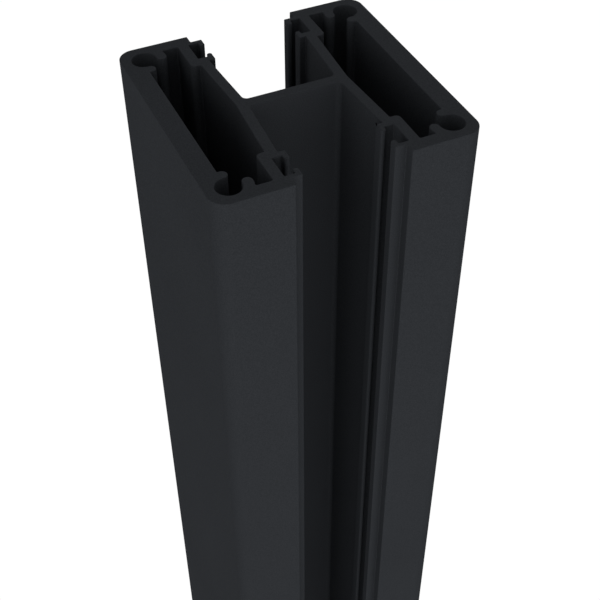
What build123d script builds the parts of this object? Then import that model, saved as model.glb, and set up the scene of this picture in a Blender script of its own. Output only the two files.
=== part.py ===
from build123d import *

import os
from math import asin, cos, radians, sin, sqrt

# Fence post: one straight aluminium extrusion with an H-shaped section.
# Two hollow flanges stand left and right of a web. Fence boards slide into the two channels
# between them, one open to the front and one to the back, and gaskets grip the boards there.
# Millimetres. Z runs up the post and its origin is the centre of the bottom end.
# X runs across the post from flange to flange, and Y runs out through the channels.

# Overall size
LENGTH = 1900.0
WIDTH = 70.0
DEPTH = 70.0
CORNER_RADIUS = 4.4

# Walls
OUTER_WALL = 5.5
END_WALL = 3.8
INNER_WALL = 2.85
WEB = 3.0
WEB_FILLET = 1.4
CAVITY_FILLET = 0.4
EDGE_BREAK = 0.25

# Board channels, whose inner walls lean apart from the web outwards
MOUTH_OPENING = 24.0
CHANNEL_AT_WEB = 25.0
CHANNEL_AT_GRIP = 27.6

# Gasket grips at the channel mouths, each a groove between an inner and an outer hook
GRIP_SETBACK = 2.9
MOUTH_SHOULDER = 3.0
GROOVE_LENGTH = 7.3
GROOVE_BED = 4.1
GROOVE_WALL = 2.9
HOOK_THICKNESS = 1.35
OUTER_HOOK_ROOT = 1.2
OUTER_HOOK_REACH = 1.7
INNER_HOOK_ROOT = 1.8
INNER_HOOK_REACH = 1.4
HOOK_TIP_RADIUS = 0.6
SHELF_RADIUS = 1.3
SHELF_LAP = 1.3

# Screw ports, open rings in the outer corners that take the screws of a cap or a foot
PORT_RADIUS = 3.3
PORT_WALL = 2.7
PORT_INSET = 6.0
PORT_GAP = 3.6
PORT_GAP_DIRECTION = 225.0

# How far past the ring the cut for its gap goes, and how close two points are to be one
CUT_OVERRUN = 0.06
SAME_POINT = 1e-4

half_width = WIDTH / 2
half_depth = DEPTH / 2
half_mouth = MOUTH_OPENING / 2
half_web = WEB / 2

# Stations along Y, from the mouth inwards
cavity_end_y = half_depth - END_WALL
grip_end_y = half_depth - GRIP_SETBACK
groove_end_y = grip_end_y - OUTER_HOOK_ROOT
groove_start_y = groove_end_y - GROOVE_LENGTH
grip_start_y = groove_start_y - INNER_HOOK_ROOT
shelf_y = grip_start_y - SHELF_LAP

# Stations along X, from the channel outwards
hook_back_x = half_mouth + HOOK_THICKNESS
shoulder_x = half_mouth + MOUTH_SHOULDER
groove_bed_x = half_mouth + GROOVE_BED
shelf_x = groove_bed_x + GROOVE_WALL
cavity_outer_x = half_width - OUTER_WALL

# The leaning inner wall, as the rise of X along Y
lean = (CHANNEL_AT_GRIP - CHANNEL_AT_WEB) / 2 / (grip_start_y - half_web)
wall_across = INNER_WALL * sqrt(1 + lean**2)

# The screw port's axis, its ring, and the two round lips at the gap in the ring
port_x = half_width - PORT_INSET
port_y = half_depth - PORT_INSET
ring_radius = PORT_RADIUS + PORT_WALL
lip_radius = PORT_WALL / 2
lip_path_radius = PORT_RADIUS + lip_radius
gap_half_angle = asin((PORT_GAP / 2 + lip_radius) / lip_path_radius)
lip_angles = [radians(PORT_GAP_DIRECTION) + side * gap_half_angle for side in (-1, 1)]


def channel_x(y):
    """X of the inner wall's channel face at y."""
    return CHANNEL_AT_WEB / 2 + lean * (y - half_web)


def polar_from_port(distance, angle):
    """The point at a distance and an angle from the axis of the screw port."""
    return (port_x + distance * cos(angle), port_y + distance * sin(angle))


def on_port_ring(vertex):
    """Whether a corner of the section lies on the outside of the screw port's ring."""
    distance = sqrt((vertex.X - port_x) ** 2 + (vertex.Y - port_y) ** 2)
    return abs(distance - ring_radius) < SAME_POINT


def rounded_outline(corners):
    """Add a closed outline of (x, y, corner radius) rows to the line being built."""
    points = [(x, y) for x, y, _ in corners]
    FilletPolyline(*points, radius=[r for _, _, r in corners], close=True)


# One quarter of the section, filled, between the two planes of symmetry
outside = [
    (0, 0, 0),
    (half_width, 0, 0),
    (half_width, half_depth, CORNER_RADIUS),
    (shoulder_x, half_depth, EDGE_BREAK),
    (shoulder_x, grip_end_y, EDGE_BREAK),
    (half_mouth, grip_end_y, EDGE_BREAK),
    (half_mouth, groove_end_y - OUTER_HOOK_REACH, HOOK_TIP_RADIUS),
    (hook_back_x, groove_end_y - OUTER_HOOK_REACH, HOOK_TIP_RADIUS),
    (hook_back_x, groove_end_y, EDGE_BREAK),
    (groove_bed_x, groove_end_y, EDGE_BREAK),
    (groove_bed_x, groove_start_y, EDGE_BREAK),
    (hook_back_x, groove_start_y, EDGE_BREAK),
    (hook_back_x, groove_start_y + INNER_HOOK_REACH, HOOK_TIP_RADIUS),
    (half_mouth, groove_start_y + INNER_HOOK_REACH, HOOK_TIP_RADIUS),
    (half_mouth, grip_start_y, EDGE_BREAK),
    (channel_x(grip_start_y), grip_start_y, EDGE_BREAK),
    (channel_x(half_web), half_web, WEB_FILLET),
    (0, half_web, 0),
]

# The hollow of the flange in that quarter, with a shelf behind the gasket groove
hollow = [
    (channel_x(0) + wall_across, 0, 0),
    (channel_x(shelf_y) + wall_across, shelf_y, CAVITY_FILLET),
    (shelf_x, shelf_y, SHELF_RADIUS),
    (shelf_x, cavity_end_y, CAVITY_FILLET),
    (cavity_outer_x, cavity_end_y, 0),
    (cavity_outer_x, 0, 0),
]

with BuildSketch() as section:
    with BuildLine():
        rounded_outline(outside)
    make_face()
    with BuildLine():
        rounded_outline(hollow)
    make_face(mode=Mode.SUBTRACT)

    # The ring of the screw port joins both outer walls
    with Locations((port_x, port_y)):
        Circle(ring_radius)
    fillet(section.vertices().filter_by(on_port_ring), CAVITY_FILLET)

    # Its bore, its gap towards the hollow, and the rounded lips of the gap
    with Locations((port_x, port_y)):
        Circle(PORT_RADIUS, mode=Mode.SUBTRACT)
    reach = (ring_radius + CUT_OVERRUN) / cos(gap_half_angle)
    with BuildLine():
        Polyline(
            (port_x, port_y), *[polar_from_port(reach, a) for a in lip_angles], close=True
        )
    make_face(mode=Mode.SUBTRACT)
    with Locations(*[polar_from_port(lip_path_radius, a) for a in lip_angles]):
        Circle(lip_radius)

    mirror(about=Plane.XZ)
    mirror(about=Plane.YZ)

with BuildPart() as post:
    add(section)
    extrude(amount=LENGTH)

post.part.label = "post"
os.makedirs("parts", exist_ok=True)
export_step(post.part, "parts/post.step")
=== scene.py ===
"""Looks of one extruded fence post: a matt powder coat, a plain studio and the camera.

The post is a single aluminium extrusion of H section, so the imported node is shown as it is. Its
cut ends get their small round arrises here, and its surface gets the finish.
"""

import logging
import math
from dataclasses import dataclass
from enum import Enum
from typing import Any, Union

import bpy
import numpy as np
from mathutils import Matrix, Vector


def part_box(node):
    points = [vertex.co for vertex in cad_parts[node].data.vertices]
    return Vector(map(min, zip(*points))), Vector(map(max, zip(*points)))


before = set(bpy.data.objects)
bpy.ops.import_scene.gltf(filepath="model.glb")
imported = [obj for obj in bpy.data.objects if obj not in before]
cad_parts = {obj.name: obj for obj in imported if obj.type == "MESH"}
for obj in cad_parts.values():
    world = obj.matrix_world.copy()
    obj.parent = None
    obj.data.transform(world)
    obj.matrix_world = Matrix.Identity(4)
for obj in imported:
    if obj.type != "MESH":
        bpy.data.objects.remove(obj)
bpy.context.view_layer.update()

MM = 0.001
WHITE = (1.0, 1.0, 1.0, 1.0)

log = logging.getLogger("fence_post")

Colour = tuple[float, float, float]
Value = Union["Socket", float, int, tuple[float, ...]]


class Socket:
    """One output of a shader node, with arithmetic that adds Math nodes to its tree."""

    def __init__(self, graph: "Graph", output: bpy.types.NodeSocket) -> None:
        """Wraps an output.

        Args:
            graph: The tree that the output belongs to.
            output: The node's output.
        """
        self.graph = graph
        self.output = output

    def _math(
        self, operation: str, first: Value, second: Value, third: Value = 0.0, clamp: bool = False
    ) -> "Socket":
        """Adds one Math node.

        Args:
            operation: The node's operation.
            first: The first value or link.
            second: The second value or link.
            third: The third value or link, where the operation takes one.
            clamp: Whether the answer is held between zero and one.

        Returns:
            The node's output.
        """
        return self.graph.add(
            "ShaderNodeMath",
            {"operation": operation, "use_clamp": clamp},
            {0: first, 1: second, 2: third},
        )

    def __add__(self, other: Value) -> "Socket":
        """This plus a value."""
        return self._math("ADD", self, other)

    def __radd__(self, other: Value) -> "Socket":
        """A value plus this."""
        return self._math("ADD", other, self)

    def __sub__(self, other: Value) -> "Socket":
        """This less a value."""
        return self._math("SUBTRACT", self, other)

    def __rsub__(self, other: Value) -> "Socket":
        """A value less this."""
        return self._math("SUBTRACT", other, self)

    def __mul__(self, other: Value) -> "Socket":
        """This times a value."""
        return self._math("MULTIPLY", self, other)

    def __rmul__(self, other: Value) -> "Socket":
        """A value times this."""
        return self._math("MULTIPLY", other, self)

    def spread(self, low: float, high: float) -> "Socket":
        """This, stretched so that low gives nothing and high gives one, and held there."""
        stretch = 1.0 / (high - low)
        return self._math("MULTIPLY_ADD", self, stretch, -low * stretch, clamp=True)

    def either(self, other: "Socket") -> "Socket":
        """The larger of this and another."""
        return self._math("MAXIMUM", self, other)


class Graph:
    """A node tree, emptied, and the one place that adds nodes to it."""

    def __init__(self, tree: bpy.types.NodeTree) -> None:
        """Takes over a tree and removes what is in it.

        Args:
            tree: The node tree of a material or of the world.
        """
        self.tree = tree
        tree.nodes.clear()

    def _node(
        self, kind: str, settings: dict[str, Any], values: dict[str | int, Value]
    ) -> bpy.types.Node:
        """Adds a node, with its settings first and its inputs after them.

        Args:
            kind: The node's type.
            settings: Properties of the node.
            values: Numbers, colours or links for its inputs, by name or place.

        Returns:
            The node.
        """
        node = self.tree.nodes.new(kind)
        for name, setting in settings.items():
            setattr(node, name, setting)
        for name, value in values.items():
            if isinstance(value, Socket):
                self.tree.links.new(value.output, node.inputs[name])
            else:
                node.inputs[name].default_value = value
        return node

    def add(
        self,
        kind: str,
        settings: dict[str, Any] | None = None,
        values: dict[str | int, Value] | None = None,
        output: str | int = 0,
    ) -> Socket:
        """Adds a node and picks one of its outputs.

        Args:
            kind: The node's type.
            settings: Properties of the node.
            values: Numbers, colours or links for its inputs, by name or place.
            output: The output that is wanted, by name or place.

        Returns:
            That output.
        """
        node = self._node(kind, settings or {}, values or {})
        return Socket(self, node.outputs[output])

    def end(self, kind: str, finished: Socket) -> None:
        """Adds the tree's output node and links the finished surface to it."""
        self._node(kind, {}, {"Surface": finished})

    def mixed(self, share: Value, first: Value, second: Value) -> Socket:
        """Mixes two colours by a share of the second."""
        return self.add(
            "ShaderNodeMix",
            {"data_type": "RGBA"},
            {"Factor": share, 6: first, 7: second},
            "Result",
        )

    def mixed_shaders(self, share: Value, first: Socket, second: Socket) -> Socket:
        """Mixes two shaders by a share of the second."""
        return self.add("ShaderNodeMixShader", None, {0: share, 1: first, 2: second})

    def white_glow(self, kind: str, strength: float) -> Socket:
        """White light from a surface or the world, at a strength at which one is white."""
        return self.add(kind, None, {"Color": WHITE, "Strength": strength})


class Grain(Enum):
    """The patterns of the finish, each with its wavelength in metres and its noise detail."""

    COAT = (0.3 * MM, 1.0)
    ORANGE_PEEL = (2.4 * MM, 1.5)
    CLOUD = (45.0 * MM, 2.0)

    @property
    def scale(self) -> float:
        """Noise cells for each metre."""
        return 1.0 / self.value[0]

    @property
    def detail(self) -> float:
        """Octaves of the noise."""
        return self.value[1]

    def noise(self, graph: Graph, place: Socket) -> Socket:
        """This pattern in space, as a number about a half."""
        return graph.add(
            "ShaderNodeTexNoise",
            {"noise_dimensions": "3D"},
            {"Vector": place, "Scale": self.scale, "Detail": self.detail},
        )


@dataclass(frozen=True)
class PowderCoat:
    """Fine matt anthracite powder coat.

    Each height is what its pattern would rise from noise 0 to noise 1, in metres. The noise keeps
    to about the middle half of that, so the grain and the orange peel each rise about 0.02 mm
    from hollow to crest. The coat has its plain look half-way up, and the swings say how far it
    changes towards hollow and crest. Its colour darkens in the grain's hollows and lightens on its
    crests as painted shade and painted light, in place of the shade that the fine relief would
    cast. The same colour swing also gives wide soft clouds of the coat their random lighter and
    darker patches.
    """

    colour: Colour = (0.0303, 0.0329, 0.0371)
    half_way: float = 0.5
    # colour swing: painted shade in the grain's hollows, painted light on its crests, and random
    # cloud patches
    tone_and_shade_swing: float = 0.13
    tone_range: tuple[float, float] = (0.32, 0.68)
    cloud_share: float = 0.15
    roughness: float = 0.85
    roughness_swing: float = 0.1
    gloss: float = 0.04
    gloss_swing: float = 0.02
    gloss_roughness: float = 0.6
    grain_height: float = 0.05 * MM
    peel_height: float = 0.04 * MM

    def _shade(self, lighter: float) -> tuple[float, float, float, float]:
        """The coat's colour, lighter by a share of itself."""
        red, green, blue = (channel * (1.0 + lighter) for channel in self.colour)
        return red, green, blue, 1.0

    def material(self) -> bpy.types.Material:
        """Builds the finish.

        Its height is the sum of the grain and the orange peel. Its crests are a little smoother and
        glossier than its hollows, and so are wide soft clouds of the coat. Its colour is lighter on
        the grain's crests and darker in its hollows, which is painted light and painted shade for
        how the fine relief is lit, and the clouds add random lighter and darker patches of the
        coat's own colour.

        Returns:
            The material.
        """
        made = bpy.data.materials.new("powder_coat_anthracite")
        made.use_nodes = True
        graph = Graph(made.node_tree)
        place = graph.add("ShaderNodeTexCoord", output="Object")
        grain = Grain.COAT.noise(graph, place)
        peel = Grain.ORANGE_PEEL.noise(graph, place)
        cloud = Grain.CLOUD.noise(graph, place)
        height = grain * self.grain_height + peel * self.peel_height
        # Painted shade and painted light: the grain's hollows get a darker colour and its crests a
        # lighter one, mixed with the clouds' random patches
        shade_and_cloud = grain * (1.0 - self.cloud_share) + cloud * self.cloud_share
        crest = shade_and_cloud.spread(*self.tone_range)
        bump = graph.add(
            "ShaderNodeBump", None, {"Strength": 1.0, "Distance": 1.0, "Height": height}
        )
        coat = graph.add(
            "ShaderNodeBsdfPrincipled",
            None,
            {
                # Base colour from dark to light by the crest share: painted shade in the hollows,
                # painted light on the crests
                "Base Color": graph.mixed(
                    crest, self._shade(-self.tone_and_shade_swing), self._shade(self.tone_and_shade_swing)
                ),
                "Roughness": self.roughness + (self.half_way - crest) * self.roughness_swing,
                "Specular IOR Level": 0.0,
                "Coat Weight": self.gloss + (crest - self.half_way) * self.gloss_swing,
                "Coat Roughness": self.gloss_roughness,
                "Normal": bump,
            },
        )
        graph.end("ShaderNodeOutputMaterial", coat)
        return made


@dataclass
class Post:
    """The post itself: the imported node, with its cut arrises rounded and its coat on.

    The arris is the width that its rounding takes off each face, in metres. Two faces that turn
    by less than the flat angle count as one flat.
    """

    node: bpy.types.Object
    arris: float = 0.22 * MM
    weld: float = 0.001 * MM
    flat_angle: float = math.radians(0.5)
    arris_angle: float = math.radians(60.0)
    arris_steps: int = 3

    def round_arrises(self) -> None:
        """Rounds the edges of the two saw cuts.

        The node's triangles are welded, what is flat becomes one face, and each edge that turns
        by more than the arris angle becomes a quarter round.
        """
        weld = self.node.modifiers.new("weld", "WELD")
        weld.merge_threshold = self.weld
        flats = self.node.modifiers.new("flats", "DECIMATE")
        flats.decimate_type = "DISSOLVE"
        flats.angle_limit = self.flat_angle
        arris = self.node.modifiers.new("arris", "BEVEL")
        arris.width = self.arris
        arris.segments = self.arris_steps
        arris.limit_method = "ANGLE"
        arris.angle_limit = self.arris_angle
        arris.use_clamp_overlap = False

    def dress(self, coat: PowderCoat) -> None:
        """Puts the coat on every slot of the node.

        Args:
            coat: The finish.
        """
        made = coat.material()
        for slot in self.node.material_slots:
            slot.material = made
        log.info("%s dressed in %s", self.node.name, made.name)


@dataclass(frozen=True)
class PaleFloor:
    """A plain white studio floor that keeps the shadow of what stands on it.

    About the foot it is matt, and lifted so far that it is white where nothing shades it. Further
    out, between the two distances of the fade, it turns into an even white.
    """

    colour: Colour = (0.8, 0.8, 0.8)
    lift: float = 0.47
    white: float = 1.02
    fade: tuple[float, float] = (0.35, 0.9)
    half_width: float = 12.0
    cells: int = 4

    def _even(self, graph: Graph) -> Socket:
        """The share of even white at each place.

        It is a smooth step of the distance from the foot: the share s of the way through the fade
        becomes s squared times (three less two s), which starts and ends level.

        Args:
            graph: The floor's tree.

        Returns:
            The share as a number.
        """
        place = graph.add("ShaderNodeTexCoord", output="Object")
        away = graph.add("ShaderNodeVectorMath", {"operation": "LENGTH"}, {0: place}, "Value")
        share = away.spread(*self.fade)
        return share * share * (3.0 - 2.0 * share)

    def _material(self) -> bpy.types.Material:
        """The floor's finish: matt, lifted to white where it is seen or mirrored, clear from below.

        Returns:
            The material.
        """
        made = bpy.data.materials.new("pale_floor")
        made.use_nodes = True
        graph = Graph(made.node_tree)
        matt = graph.add("ShaderNodeBsdfDiffuse", None, {"Color": (*self.colour, 1.0)}, "BSDF")
        lift = graph.white_glow("ShaderNodeEmission", self.lift)
        lifted = graph.add("ShaderNodeAddShader", None, {0: matt, 1: lift})
        white = graph.white_glow("ShaderNodeEmission", self.white)
        faded = graph.mixed_shaders(self._even(graph), lifted, white)
        shown = graph.mixed_shaders(seen_or_mirrored(graph), matt, faded)
        clear = graph.add("ShaderNodeBsdfTransparent")
        behind = graph.add("ShaderNodeNewGeometry", output="Backfacing")
        graph.end("ShaderNodeOutputMaterial", graph.mixed_shaders(behind, shown, clear))
        return made

    def build(self) -> bpy.types.Object:
        """Makes the floor, a square in the plane of the post's foot.

        Returns:
            The floor.
        """
        across = np.linspace(-self.half_width, self.half_width, self.cells + 1)
        x, y = np.meshgrid(across, across, indexing="ij")
        floor = surface("floor", np.stack([x, y, np.zeros_like(x)], axis=-1))
        floor.data.materials.append(self._material())
        log.info("floor %.0f m across", 2 * self.half_width)
        return floor


@dataclass(frozen=True)
class Softbox:
    """One square studio lamp, aimed at the post.

    It hangs at an azimuth, in degrees from the front towards the left, and at an elevation, in
    degrees above its target. Its distance and its side are in metres.
    """

    name: str
    azimuth: float
    elevation: float
    level: float
    distance: float = 3.2
    side: float = 1.8

    def build(self, target: Vector) -> bpy.types.Object:
        """Hangs the lamp.

        Its power makes a white card that faces it render at the level: a flat lamp of power P
        gives such a card P over the square of pi times the distance.

        Args:
            target: The point that the lamp faces.

        Returns:
            The lamp.
        """
        turn, rise = math.radians(self.azimuth), math.radians(self.elevation)
        out = Vector(
            (
                -math.sin(turn) * math.cos(rise),
                -math.cos(turn) * math.cos(rise),
                math.sin(rise),
            )
        )
        light = bpy.data.lights.new(self.name, "AREA")
        light.shape = "SQUARE"
        light.size = self.side
        light.energy = self.level * (math.pi * self.distance) ** 2
        lamp = bpy.data.objects.new(self.name, light)
        lamp.location = target + out * self.distance
        lamp.rotation_mode = "QUATERNION"
        lamp.rotation_quaternion = out.to_track_quat("Z", "Y")
        lamp.visible_camera = False
        bpy.context.scene.collection.objects.link(lamp)
        log.info("lamp %s at level %.2f", self.name, self.level)
        return lamp


@dataclass(frozen=True)
class Studio:
    """The plain studio: pale floor, white surroundings and soft lamps."""

    floor: PaleFloor = PaleFloor()
    ambient: float = 0.45
    white: float = 1.0
    lamps: tuple[Softbox, ...] = (
        Softbox("front", azimuth=0.0, elevation=-10.0, level=0.14),
        Softbox("front_left", azimuth=30.0, elevation=-10.0, level=0.105),
        Softbox("left", azimuth=60.0, elevation=-10.0, level=0.13),
        Softbox("left_high", azimuth=60.0, elevation=20.0, level=0.085),
        Softbox("front_right", azimuth=-30.0, elevation=-10.0, level=0.14),
        Softbox("back_right", azimuth=-135.0, elevation=10.0, level=0.24),
    )

    def _surroundings(self) -> None:
        """White where it is seen or mirrored, and a plain soft fill for all other light."""
        world = bpy.data.worlds.new("surroundings")
        bpy.context.scene.world = world
        world.use_nodes = True
        graph = Graph(world.node_tree)
        fill = graph.white_glow("ShaderNodeBackground", self.ambient)
        white = graph.white_glow("ShaderNodeBackground", self.white)
        both = graph.mixed_shaders(seen_or_mirrored(graph), fill, white)
        graph.end("ShaderNodeOutputWorld", both)
        log.info("surroundings at level %.2f", self.ambient)

    def build(self, target: Vector) -> None:
        """Sets up the whole studio.

        Args:
            target: The point that the lamps face.
        """
        self.floor.build()
        self._surroundings()
        for lamp in self.lamps:
            lamp.build(target)
        bpy.context.scene.view_settings.view_transform = "Standard"


@dataclass(frozen=True)
class Camera:
    """The camera of the photograph, placed from the centre of the post's top end.

    Its angles are in degrees, its lens and its sensor in millimetres, and the rest is in metres.
    """

    offset: tuple[float, float, float] = (-97.3 * MM, -217.4 * MM, 157.6 * MM)
    azimuth: float = 24.47
    downward: float = 44.08
    roll: float = -0.42
    lens: float = 67.45
    sensor: float = 36.0
    nearest: float = 0.01
    farthest: float = 100.0

    def build(self, top: Vector) -> bpy.types.Object:
        """Makes the camera and hands it to the scene.

        Args:
            top: The centre of the post's top end.

        Returns:
            The camera.
        """
        data = bpy.data.cameras.new("camera")
        data.sensor_width = self.sensor
        data.lens = self.lens
        data.clip_start = self.nearest
        data.clip_end = self.farthest
        camera = bpy.data.objects.new("camera", data)
        turned = Matrix.Rotation(math.radians(-self.azimuth), 4, "Z")
        tipped = Matrix.Rotation(math.radians(90.0 - self.downward), 4, "X")
        rolled = Matrix.Rotation(math.radians(self.roll), 4, "Z")
        camera.matrix_world = (
            Matrix.Translation(top + Vector(self.offset)) @ turned @ tipped @ rolled
        )
        bpy.context.scene.collection.objects.link(camera)
        bpy.context.scene.camera = camera
        log.info("camera at %s", [round(c, 4) for c in camera.location])
        return camera


def seen_or_mirrored(graph: Graph) -> Socket:
    """One for a ray from the camera, a mirror or through glass, and nothing for other light.

    Args:
        graph: The tree that the answer is for.

    Returns:
        The answer as a number.
    """
    rays = [
        graph.add("ShaderNodeLightPath", output=f"Is {kind} Ray")
        for kind in ("Camera", "Glossy", "Transmission")
    ]
    return rays[0].either(rays[1]).either(rays[2])


def surface(name: str, points: np.ndarray) -> bpy.types.Object:
    """Makes a piece from a grid of points.

    Point (i, j) of the grid is vertex i times the columns plus j, and each cell of the grid is
    one face through its four corners.

    Args:
        name: The piece's name.
        points: Rows by columns by three coordinates, in metres.

    Returns:
        The piece.
    """
    rows, columns, _ = points.shape
    corner = (np.arange(rows - 1)[:, None] * columns + np.arange(columns - 1)).ravel()
    faces = np.stack([corner, corner + columns, corner + columns + 1, corner + 1], axis=1)
    mesh = bpy.data.meshes.new(name)
    mesh.from_pydata(points.reshape(-1, 3).tolist(), [], faces.tolist())
    piece = bpy.data.objects.new(name, mesh)
    bpy.context.scene.collection.objects.link(piece)
    return piece


def main() -> None:
    """Dresses the post and sets up the studio and the camera."""
    logging.basicConfig(level=logging.INFO, format="%(name)s: %(message)s")
    low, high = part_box("post")
    top = Vector(((low.x + high.x) / 2, (low.y + high.y) / 2, high.z))
    post = Post(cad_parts["post"])
    post.round_arrises()
    post.dress(PowderCoat())
    Studio().build(top)
    Camera().build(top)


if __name__ == "__main__":
    main()
